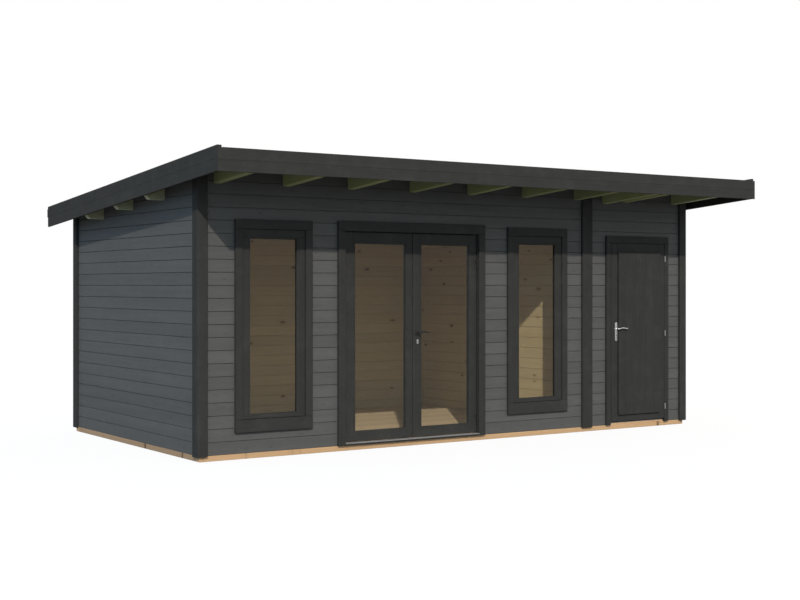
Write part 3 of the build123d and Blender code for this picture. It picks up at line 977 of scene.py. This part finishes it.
P = Piece("felt_sheets", "felt")
y = -834.0
L = 960.0
while y < 3255 - 100:
    y1 = min(y + L, 3255.0)
    last = y1 >= 3255.0
    if last:
        prof = [(y, 2531), (y1, 2531), (y1, 2533.4), (y, 2533.4)]
    else:
        prof = [(y, 2531), (y1 - 95, 2531), (y1 - 78, 2533.4), (y1, 2533.4),
                (y1, 2536), (y1 - 80, 2536), (y1 - 97, 2533.4),
                (y, 2533.4)]
    P.outline(prof, "x", -186, 6032, "felt", "x", slope_all)
    y = y1 - 80 if not last else 9999
# the felt is turned up along the verges
for x0, x1 in ((-186.0, -183.4), (6029.4, 6032.0)):
    P.outline([(-812, 2533), (3233, 2533), (3233, 2551), (-812, 2551)], "x",
              x0, x1, "felt", "y", slope_all)
P.build("roof_felt")


def fascia_x(P, y0, y1, zb, zseam, zt, warp):
    P.cbox(-226, 6072, y0, y1, zb, zseam - 0.3, 1.4, "trim", "x", warp)
    P.cbox(-226, 6072, y0, y1, zseam + 0.3, zt, 1.4, "trim", "x", warp)


P = Piece("front_fascia_boards", "trim_paint")
zt = zu(-824) + 18
fascia_x(P, -834, -814, 2401, 2498, zt, None)
P.build("front_fascia")
P = Piece("back_fascia_board", "trim_paint")
zt = zu(3245) + 18
P.cbox(-226, 6072, 3235, 3255, zt - 87, zt, 2, "trim", "x")
P.build("back_fascia")

for side, x0, x1, b0, b1 in (("left", -226, -206, -206, -186),
                             ("right", 6052, 6072, 6032, 6052)):
    P = Piece(side + "_fascia_boards", "trim_paint")
    P.cbox(x0, x1, -814, 3235, 2343, 2448.8, 1.2, "trim", "y", slope_all)
    P.cbox(x0, x1, -814, 3235, 2449.2, 2555, 1.2, "trim", "y", slope_all)
    P.cbox(b0, b1, -814, 3235, 2531, 2555, 2, "trim", "y", slope_all)
    P.build(side + "_fascia")

# ------------------------------------------------------------------ windows


def glazed(P, x0, x1, z0, z1, gx0, gx1, gz0, gz1, y0, y1, over, gy,
           edge=3.0):
    """A glazed frame round the glass gx0..gx1, gz0..gz1: stiles and rails,
    outer glazing beads, inner stops, seals.  The glass is gy..gy + 4."""
    bead = 16.0
    wsl, wsr = gx0 - bead - x0, x1 - gx1 - bead
    hb, ht = gz0 - bead - z0, z1 - gz1 - bead
    m = inner_faced("trim", "pine")
    if over == "stiles":
        P.cbox(x0, x0 + wsl, y0, y1, z0, z1, edge, m, "z")
        P.cbox(x1 - wsr, x1, y0, y1, z0, z1, edge, m, "z")
        P.cbox(x0 + wsl, x1 - wsr, y0, y1, z0, z0 + hb, edge * .6, m, "x")
        P.cbox(x0 + wsl, x1 - wsr, y0, y1, z1 - ht, z1, edge * .6, m, "x")
    else:
        P.cbox(x0, x1, y0, y1, z0, z0 + hb, edge, m, "x")
        P.cbox(x0, x1, y0, y1, z1 - ht, z1, edge, m, "x")
        P.cbox(x0, x0 + wsl, y0, y1, z0 + hb, z1 - ht, edge * .6, m, "z")
        P.cbox(x1 - wsr, x1, y0, y1, z0 + hb, z1 - ht, edge * .6, m, "z")
    # beads in front of the glass, mitred
    X0, X1, Z0, Z1 = gx0 - bead, gx1 + bead, gz0 - bead, gz1 + bead
    ya = y0 + (2.5 if gy - y0 > 12 else 1.0)
    for ya, yb, mat in ((ya, gy - 1.2, "trim"), (gy + 5.2, y1 - 2, None)):
        # behind the glass the stops are pine towards the room and near black on
        # their other faces, as painted shade
        mm = mat or inner_faced("shadow_paint", "pine")
        prof = [(0.0, ya), (bead - 1.5, ya), (bead, ya + 1.5), (bead, yb),
                (0.0, yb)]
        if not mat:
            prof = [(0.0, ya), (bead, ya), (bead, yb - 4),
                    (bead - 5, yb), (0.0, yb)]
        for side in range(4):
            rings = []
            for end in (0, 1):
                ring = []
                for d, yy in prof:
                    if side == 0:      # left
                        ring.append((X0 + d, yy, Z0 + d if end == 0
                                     else Z1 - d))
                    elif side == 1:    # right
                        ring.append((X1 - d, yy, Z0 + d if end == 0
                                     else Z1 - d))
                    elif side == 2:    # bottom
                        ring.append((X0 + d if end == 0 else X1 - d, yy,
                                     Z0 + d))
                    else:
                        ring.append((X0 + d if end == 0 else X1 - d, yy,
                                     Z1 - d))
                rings.append(ring)
            P.rings(rings, mm, "z" if side < 2 else "x")
    # seals on both faces of the glass
    for ya, yb in ((gy - 1.2, gy), (gy + 4.0, gy + 5.2)):
        P.ring4(X0 + 4, X1 - 4, Z0 + 4, Z1 - 4, bead - 1.5, bead - 1.5,
                bead - 1.5, ya, yb, 0.3, "rubber")


def pane(name, x0, x1, z0, z1, gy, body, node):
    P = Piece(name, "glass", body)
    P.cbox(x0 - 6, x1 + 6, gy, gy + 4, z0 - 6, z1 + 6, 0.6, "glass", "z")
    return P.build(node)


for side, cx in (("left", 727.0), ("right", 3764.0)):
    P = Piece(side + "_window_casing", "trim_paint")
    x0, x1, z0, z1 = cx - 390, cx + 390, 184.0, 2066.0
    P.ring4(x0, x1, z0, z1, 73, 113, 85, -28, 0, 3.5, "trim", "rails", 0.4)
    P.ring4(x0 + 54, x1 - 54, 278, 2000, 19, 19, 19, 0.0, 44, 1.5,
            "trim", "rails")
    P.ring4(x0 + 3, x1 - 3, 227, 2051, 70, 70, 70, 44, 62, 3,
            "pine", "rails", 0.6)
    P.build(side + "_window_frame")
    P = Piece(side + "_window_leaf", "trim_paint")
    glazed(P, cx - 314.5, cx + 314.5, 299.5, 1978.5, cx - 240, cx + 232, 341,
           1898, -15, 29, "rails", 6.0, 3.0)
    # the seal between sash and lining
    P.ring4(cx - 317, cx + 317, 297, 1981, 3.5, 3.5, 3.5, 6, 14, 0.4,
            "rubber")
    P.build(side + "_window_sash")
    pane(side + "_window_pane", cx - 240, cx + 232, 341, 1898, 6, "house",
         side + "_window_glass")


# -------------------------------------------------------------- door frames
def door_casing(P, x0, x1, w, z1, head, y_stop, stop_to):
    i0, i1, top = x0 + w, x1 - w, z1 - head
    P.cbox(x0, i0, -29, 0, 0, top - 0.6, 3, "trim", "z")
    P.cbox(i1, x1, -29, 0, 0, top - 0.6, 3, "trim", "z")
    P.cbox(x0, x1, -29, 0, top, z1, 3, "trim", "x")
    P.cbox(i0 - 19, i0, 0, 44, 0, top, 1.5, "trim", "z")
    P.cbox(i1, i1 + 19, 0, 44, 0, top, 1.5, "trim", "z")
    P.cbox(i0 - 19, i1 + 19, 0, 44, top, top + 19, 1.5, "trim", "x")
    P.cbox(i0 - 60, i0, 44, 62, 19, top - 0.6, 3, "pine", "z")
    P.cbox(i1, i1 + 60, 44, 62, 19, top - 0.6, 3, "pine", "z")
    P.cbox(i0 - 60, i1 + 60, 44, 62, top, top + 60, 3, "pine", "x")
    ya, yb = y_stop, stop_to
    P.cbox(i0 - 1, i0 + 20, ya, yb, 26, top - 20, 2, "trim", "z")
    P.cbox(i1 - 20, i1 + 1, ya, yb, 26, top - 20, 2, "trim", "z")
    P.cbox(i0 - 1, i1 + 1, ya, yb, top - 20, top + 1, 2, "trim", "x")


P = Piece("double_door_casing", "trim_paint")
door_casing(P, 1390, 3086, 77, 2079, 94, 57.5, 68)
P.build("double_door_frame")
P = Piece("store_door_casing", "trim_paint")
door_casing(P, 4697, 5604, 60, 2009, 74, 18.5, 40)
P.cbox(4760, 5541, -24, 0, 1932, 1936, 0.5, "trim", "x")
P.cbox(5541, 5545, -24, 0, 34, 1932, 0.5, "trim", "z")
P.build("store_door_frame")


def sill(name, x0, x1, y_out, body_mat, node):
    P = Piece(name, "aluminium")
    P.cbox(x0, x1, y_out, 44, 0, 20, 2.5 if y_out < 0 else 1.0, body_mat, "x")
    # a rolled strip with a front lip and two ribs
    a = y_out - 4
    prof = [(a, 17), (a + 1.5, 17), (a + 1.5, 20), (30, 20), (30, 23),
            (26, 23), (24, 25.6), (18, 25.6), (16, 23.4), (a + 15, 23.4),
            (a + 14, 24.6), (a + 11, 24.6), (a + 10, 23.4), (a + 3, 23.4),
            (a, 21.5)]
    P.outline(prof, "x", x0, x1, "alu", "x")
    P.build(node)


sill("double_door_sill", 1467, 3009, -29, "trim", "double_door_threshold")
sill("store_door_sill", 4757, 5544, 0, "base", "store_door_threshold")

# -------------------------------------------------------------- door leaves
P = Piece("left_leaf", "trim_paint", "left_door")
glazed(P, 1473, 2235.5, 33, 1979, 1593, 2158, 124, 1872, 12, 56, "stiles",
       18.0)
P.cbox(2235.4, 2237.6, 28, 36, 40, 1972, 0.4, "rubber", "z")
P.build("left_door_leaf")
pane("left_leaf_pane", 1593, 2158, 124, 1872, 18, "left_door",
     "left_door_glass")
P = Piece("right_leaf", "trim_paint", "right_door")
glazed(P, 2240.5, 3003, 33, 1979, 2343, 2909, 124, 1872, 12, 56, "stiles",
       18.0)
P.cbox(2238.4, 2240.6, 28, 36, 40, 1972, 0.4, "rubber", "z")
P.build("right_door_leaf")
pane("right_leaf_pane", 2343, 2909, 124, 1872, 18, "right_door",
     "right_door_glass")

P = Piece("store_leaf", "trim_paint", "store_door")
m = inner_faced("trim", "pine")
P.cbox(4763, 4852.5, -27, 17, 33, 1929, 2, m, "z")
P.cbox(5453.5, 5538, -27, 17, 33, 1929, 2, m, "z")
P.cbox(4852.5, 5453.5, -27, 17, 33, 106, 1.2, m, "x")
P.cbox(4852.5, 5453.5, -27, 17, 1830, 1929, 1.2, m, "x")
nb = 6
w = 602.0 / nb
for i in range(nb):
    x0 = 4852 + w * i
    P.cbox(x0 + 0.2, x0 + w - 0.2, -49, -24, 104, 1832, 2.2, "trim", "z")
P.cbox(4852.5, 5453.5, -24, 12, 106, 1830, 1, m, "z")
P.build("store_door_leaf")


# ----------------------------------------------------------------- hardware
def screw(P, axis, c, a0, a1, r=3.4, mat="chrome"):
    P.cyl(axis, c, a0, a1, r, 0.5, mat, 16)


def knuckle(P, ax, ay, z0, z1, r=6.0, mat="chrome"):
    P.cyl("z", (ax, ay), z0, z1, r, 0.8, mat, 28)


HALF = 30.0
dd_ax = [(1470.0, 5.0), (3006.0, 5.0)]
F = Piece("hinge_frame_halves", "hardware", "house", True)
for side, (ax, ay), body, sg in (("left", dd_ax[0], "left_door", 1),
                                 ("right", dd_ax[1], "right_door", -1)):
    P = Piece(side + "_leaf_hinges", "hardware", body, True)
    for h in (175.0, 1700.0):
        knuckle(P, ax, ay, h + 0.6, h + HALF, mat="steel")
        x0, x1 = sorted((ax, ax + sg * 30))
        P.cbox(x0, x1, 9, 12.2, h + 0.6, h + HALF, 0.7, "steel", "x")
        x0, x1 = sorted((ax, ax + sg * 5.5))
        P.cbox(x0, x1, ay, 12, h + 0.9, h + HALF - 0.4, 0.4, "steel", "x")
        for dz in (8.0, 22.0):
            screw(P, "y", (ax + sg * 21, h + dz), 8.3, 10.0, mat="steel")
        P.cyl("z", (ax, ay), h + HALF - 0.5, h + HALF + 3.5, 3.6, 1.4,
              "steel", 20)
        knuckle(F, ax, ay, h - HALF, h - 0.1, mat="steel")
        x0, x1 = sorted((ax, ax - sg * 11.5))
        F.cbox(x0, x1, ay - 1.6, ay + 1.6, h - HALF, h - 0.2, 0.5, "steel",
               "z")
        F.cyl("z", (ax, ay), h - HALF - 3.5, h - HALF + 0.5, 3.6, 1.4,
              "steel", 20)
        F.cyl("z", (ax, ay), h - 5, h + HALF - 6, 3.0, 0.6, "steel", 20)
    P.build(side + "_door_hinges")
P = Piece("store_leaf_hinges", "hardware", "store_door", True)
ax, ay = 5541.0, -37.0
for h in (166.0, 963.0, 1770.0):
    knuckle(P, ax, ay, h + 0.6, h + HALF)
    P.cbox(ax - 30, ax, -30, -26.8, h + 0.6, h + HALF, 0.7, "trim", "x")
    P.cbox(ax - 5.5, ax, ay, -27, h + 0.9, h + HALF - 0.4, 0.4, "trim",
           "x")
    for dz in (8.0, 22.0):
        screw(P, "y", (ax - 21, h + dz), -30.7, -29.0, mat="trim")
    P.cyl("z", (ax, ay), h + HALF - 0.5, h + HALF + 3.5, 3.6, 1.4, "chrome",
          20)
    knuckle(F, ax, ay, h - HALF, h - 0.1)
    F.cbox(ax, ax + 34, -32, -28.8, h - HALF, h - 0.2, 0.7, "trim", "x")
    F.cbox(ax, ax + 5.5, ay, -29, h - HALF + 0.3, h - 0.5, 0.4, "trim",
           "x")
    for dz in (-8.0, -22.0):
        screw(F, "y", (ax + 24, h + dz), -32.7, -31.0, mat="trim")
    F.cyl("z", (ax, ay), h - HALF - 3.5, h - HALF + 0.5, 3.6, 1.4, "chrome",
          20)
    F.cyl("z", (ax, ay), h - 5, h + HALF - 6, 3.0, 0.6, "chrome", 20)
P.build("store_door_hinges")
F.build("hinge_frame_knuckles")


def stadium(cx, cz, hw, hh, n=12):
    """Outline of an upright plate with round ends, half sizes hw, hh."""
    pts = []
    for k in range(n + 1):
        t = math.pi * k / n
        pts.append((cx + hw * math.cos(t), cz + hh - hw + hw * math.sin(t)))
    for k in range(n + 1):
        t = math.pi + math.pi * k / n
        pts.append((cx + hw * math.cos(t), cz - hh + hw + hw * math.sin(t)))
    return pts


def plate(P, cx, cz, hw, hh, y_face, y_out, mat="chrome"):
    """A round-ended plate with an eased outer edge."""
    e = 1.6 * (1 if y_out > y_face else -1)
    rings = []
    for yy, d in ((y_face, 0.0), (y_out - e, 0.0), (y_out - e * .35, 0.7),
                  (y_out, 2.0)):
        rings.append([(x, yy, z) for x, z in stadium(cx, cz, hw - d,
                                                     hh - d)])
    P.rings(rings, mat, "z")


# the keyhole is a thin near-black disc and slot on the plate's face: painted
# shade where the real opening would be
def keyhole(P, cx, cz, y_face, sgn):
    y0, y1 = sorted((y_face, y_face + sgn * 0.5))
    P.cyl("y", (cx, cz + 3), y0, y1, 4.2, 0.15, "dark", 20)
    P.cbox(cx - 1.5, cx + 1.5, y0, y1, cz - 8, cz + 2, 0.15, "dark", "z")


def lever_path(x, z, y_face, sgn, length):
    """Neck out of the plate, a tight bend, and an S-shaped grip."""
    reach = 35.5
    key = [(0, 0.0), (18, 2.5), (34, 8.0), (50, 11.0), (66, 10.5), (84, 7.0),
           (102, 3.2), (114, 1.6), (122, 1.4)]
    pts, rad = [], []
    for s in (0.0, 4.0, 10.0, 18.0, 25.0):
        pts.append((x, y_face + sgn * s, z))
        rad.append(7.6 if s < 5 else 6.4)
    for k in range(1, 6):
        t = math.pi / 2 * k / 6
        pts.append((x + 10.5 * (1 - math.cos(t)),
                    y_face + sgn * (25.0 + 10.5 * math.sin(t)), z))
        rad.append(6.4 + 0.08 * k)
    for i in range(2, 41):
        s = 122.0 * i / 40
        sx = s * length / 122.0
        if s < 11:
            continue
        for j in range(len(key) - 1):
            if key[j][0] <= s <= key[j + 1][0] + 1e-6:
                p0 = key[max(j - 1, 0)][1]
                p1, p2 = key[j][1], key[j + 1][1]
                p3 = key[min(j + 2, len(key) - 1)][1]
                t = (s - key[j][0]) / (key[j + 1][0] - key[j][0])
                dz = 0.5 * (2 * p1 + (p2 - p0) * t
                            + (2 * p0 - 5 * p1 + 4 * p2 - p3) * t * t
                            + (3 * p1 - p0 - 3 * p2 + p3) * t ** 3)
                break
        pts.append((x + sx, y_face + sgn * reach, z + dz * 0.75 - 1.0))
        r = 6.8 - 1.0 * (s / 122.0)
        if s > 114:
            r *= math.sqrt(max(0.12, 1 - ((s - 114) / 8.6) ** 2))
        rad.append(r)
    return pts, rad


def lever(P, x, z, y_out, y_in, length, mat):
    for yf, sgn in ((y_out, -1), (y_in, 1)):
        pts, rad = lever_path(x, z, yf, sgn, length)
        P.tube(pts, rad, mat, 20)
        a0, a1 = sorted((yf + sgn * 0.3, yf + sgn * 6))
        P.cyl("y", (x, z), a0, a1, 9.6, 1.0, mat, 28)
    P.cyl("y", (x, z), y_out + 0.2, y_in - 0.2, 4.5, 0.5, mat, 12)


P = Piece("right_leaf_roses", "hardware", "right_door", True)
for yf, yo, sgn in ((12.0, 4.0, -1), (56.0, 64.0, 1)):
    n = 40
    rings = []
    for yy, r in ((yf, 26.0), (yo + sgn * -2.0, 26.0), (yo - sgn * 0.6, 25.0),
                  (yo, 23.5), (yo, 13.0), (yo - sgn * 1.5, 12.2)):
        rings.append([(2293 + r * math.cos(2 * math.pi * k / n), yy,
                       1028 + r * math.sin(2 * math.pi * k / n))
                      for k in range(n)])
    P.rings(rings, "steel", "y")
    plate(P, 2293, 942, 11, 22, yf, yo)
    keyhole(P, 2293, 942, yo, sgn)
P.build("right_door_lock")
P = Piece("right_leaf_lever", "hardware", "right_door_lever_body", True)
lever(P, 2293, 1028, 3.5, 64.5, 122.0, "steel")
P.build("right_door_lever")

P = Piece("store_leaf_plates", "hardware", "store_door", True)
for yf, yo, sgn in ((-27.0, -35.0, -1), (17.0, 25.0, 1)):
    plate(P, 4828, 990.5, 17, 100.5, yf, yo, "white_metal")
    keyhole(P, 4828, 950, yo, sgn)
    for dz in (88, -88):
        y0, y1 = sorted((yo - sgn * 0.4, yo + sgn * 0.9))
        screw(P, "y", (4828, 990.5 + dz), y0, y1, 3.2)
P.build("store_door_lock")
P = Piece("store_leaf_lever", "hardware", "store_door_lever_body", True)
lever(P, 4828, 1022, -35.5, 25.5, 134.0, "white_metal")
P.build("store_door_lever")

# -------------------------------------------------------- floor, light, view
me = bpy.data.meshes.new("studio_floor")
R = 900.0
me.from_pydata([(-R, -R, -0.0006), (R, -R, -0.0006), (R, R, -0.0006),
                (-R, R, -0.0006)], [], [(0, 1, 2, 3)])
floor = bpy.data.objects.new("studio_floor", me)
bpy.context.scene.collection.objects.link(floor)
N = Net("studio_floor_pale")
lp = N.new("ShaderNodeLightPath")
df = N.new("ShaderNodeBsdfDiffuse")
g = N.new("ShaderNodeNewGeometry")
fn = N.noise(g.outputs["Position"], 2.0, 2.0)
N.put(df.inputs["Color"], N.mix(fn, rgb(0.225, 0.225, 0.215),
                                rgb(0.245, 0.245, 0.235)))
em = N.new("ShaderNodeEmission")
em.inputs["Color"].default_value = rgb(1.0, 1.0, 1.0)
em.inputs["Strength"].default_value = 0.88
df2 = N.new("ShaderNodeBsdfDiffuse")
df2.inputs["Color"].default_value = rgb(0.13, 0.13, 0.13)
ad = N.new("ShaderNodeAddShader")
N.put(ad.inputs[0], em.outputs[0])
N.put(ad.inputs[1], df2.outputs[0])
mx = N.new("ShaderNodeMixShader")
N.put(mx.inputs[0], lp.outputs["Is Camera Ray"])
N.put(mx.inputs[1], df.outputs[0])
N.put(mx.inputs[2], ad.outputs[0])
# what the glass mirrors of the floor is one even tone
eg = N.new("ShaderNodeEmission")
eg.inputs["Color"].default_value = rgb(1.0, 1.0, 1.0)
eg.inputs["Strength"].default_value = 0.32
mg = N.new("ShaderNodeMixShader")
N.put(mg.inputs[0], lp.outputs["Is Glossy Ray"])
N.put(mg.inputs[1], mx.outputs[0])
N.put(mg.inputs[2], eg.outputs[0])
me.materials.append(N.finish(mg.outputs[0]))

sun = bpy.data.lights.new("key_sun", "SUN")
sun.energy = 2.29
sun.angle = math.radians(0.9)
sun.color = (1.0, 0.922, 0.832)
so = bpy.data.objects.new("key_sun", sun)
so.rotation_euler = Vector((518, 840, -618)).to_track_quat(
    "-Z", "Y").to_euler()
bpy.context.scene.collection.objects.link(so)

world = bpy.data.worlds.new("studio")
bpy.context.scene.world = world
world.use_nodes = True
wt = world.node_tree
wt.nodes.clear()
wo = wt.nodes.new("ShaderNodeOutputWorld")
tc = wt.nodes.new("ShaderNodeTexCoord")
sx = wt.nodes.new("ShaderNodeSeparateXYZ")
wt.links.new(tc.outputs["Generated"], sx.inputs[0])
mr = wt.nodes.new("ShaderNodeMapRange")
mr.inputs["From Min"].default_value = -1.0
mr.inputs["From Max"].default_value = 0.6
wt.links.new(sx.outputs[0], mr.inputs["Value"])
cr = wt.nodes.new("ShaderNodeMix")
cr.data_type = "RGBA"
cr.inputs[6].default_value = (0.54, 0.87, 1.22, 1.0)
cr.inputs[7].default_value = (1.12, 1.06, 0.95, 1.0)
wt.links.new(mr.outputs[0], cr.inputs[0])
# the sky is brighter near the horizon than overhead
mz = wt.nodes.new("ShaderNodeMapRange")
mz.inputs["From Min"].default_value = 0.0
mz.inputs["From Max"].default_value = 1.0
mz.inputs["To Min"].default_value = 1.2
mz.inputs["To Max"].default_value = 0.50
wt.links.new(sx.outputs[2], mz.inputs["Value"])
b1 = wt.nodes.new("ShaderNodeBackground")
wt.links.new(cr.outputs[2], b1.inputs["Color"])
wt.links.new(mz.outputs[0], b1.inputs["Strength"])
b2 = wt.nodes.new("ShaderNodeBackground")
b2.inputs["Color"].default_value = (1, 1, 1, 1)
b2.inputs["Strength"].default_value = 1.0
# what gloss mirrors: dim at the horizon, bright higher up
mg2 = wt.nodes.new("ShaderNodeMapRange")
mg2.inputs["From Min"].default_value = 0.05
mg2.inputs["From Max"].default_value = 0.75
mg2.inputs["To Min"].default_value = 0.32
mg2.inputs["To Max"].default_value = 1.0
wt.links.new(sx.outputs[2], mg2.inputs["Value"])
b3 = wt.nodes.new("ShaderNodeBackground")
b3.inputs["Color"].default_value = (1, 1, 1, 1)
wt.links.new(mg2.outputs[0], b3.inputs["Strength"])
wl = wt.nodes.new("ShaderNodeLightPath")
wg = wt.nodes.new("ShaderNodeMixShader")
wt.links.new(wl.outputs["Is Glossy Ray"], wg.inputs[0])
wt.links.new(b1.outputs[0], wg.inputs[1])
wt.links.new(b3.outputs[0], wg.inputs[2])
wm = wt.nodes.new("ShaderNodeMixShader")
wt.links.new(wl.outputs["Is Camera Ray"], wm.inputs[0])
wt.links.new(wg.outputs[0], wm.inputs[1])
wt.links.new(b2.outputs[0], wm.inputs[2])
wt.links.new(wm.outputs[0], wo.inputs["Surface"])

cam = bpy.data.cameras.new("photo_camera")
cam.lens = 60.0
cam.sensor_width = 36.0
cam.sensor_fit = "HORIZONTAL"
cam.shift_x = 0.0
cam.shift_y = -0.01822
cam.clip_start = 0.1
cam.clip_end = 2000.0
co = bpy.data.objects.new("photo_camera", cam)
co.location = (-7.8746, -11.7534, 1.530)
co.rotation_euler = (math.radians(90), 0, math.radians(-33.7235))
bpy.context.scene.collection.objects.link(co)
bpy.context.scene.camera = co

sc = bpy.context.scene
sc.view_settings.view_transform = "Standard"
sc.view_settings.look = "None"
sc.view_settings.exposure = 0.0
sc.view_settings.gamma = 1.0
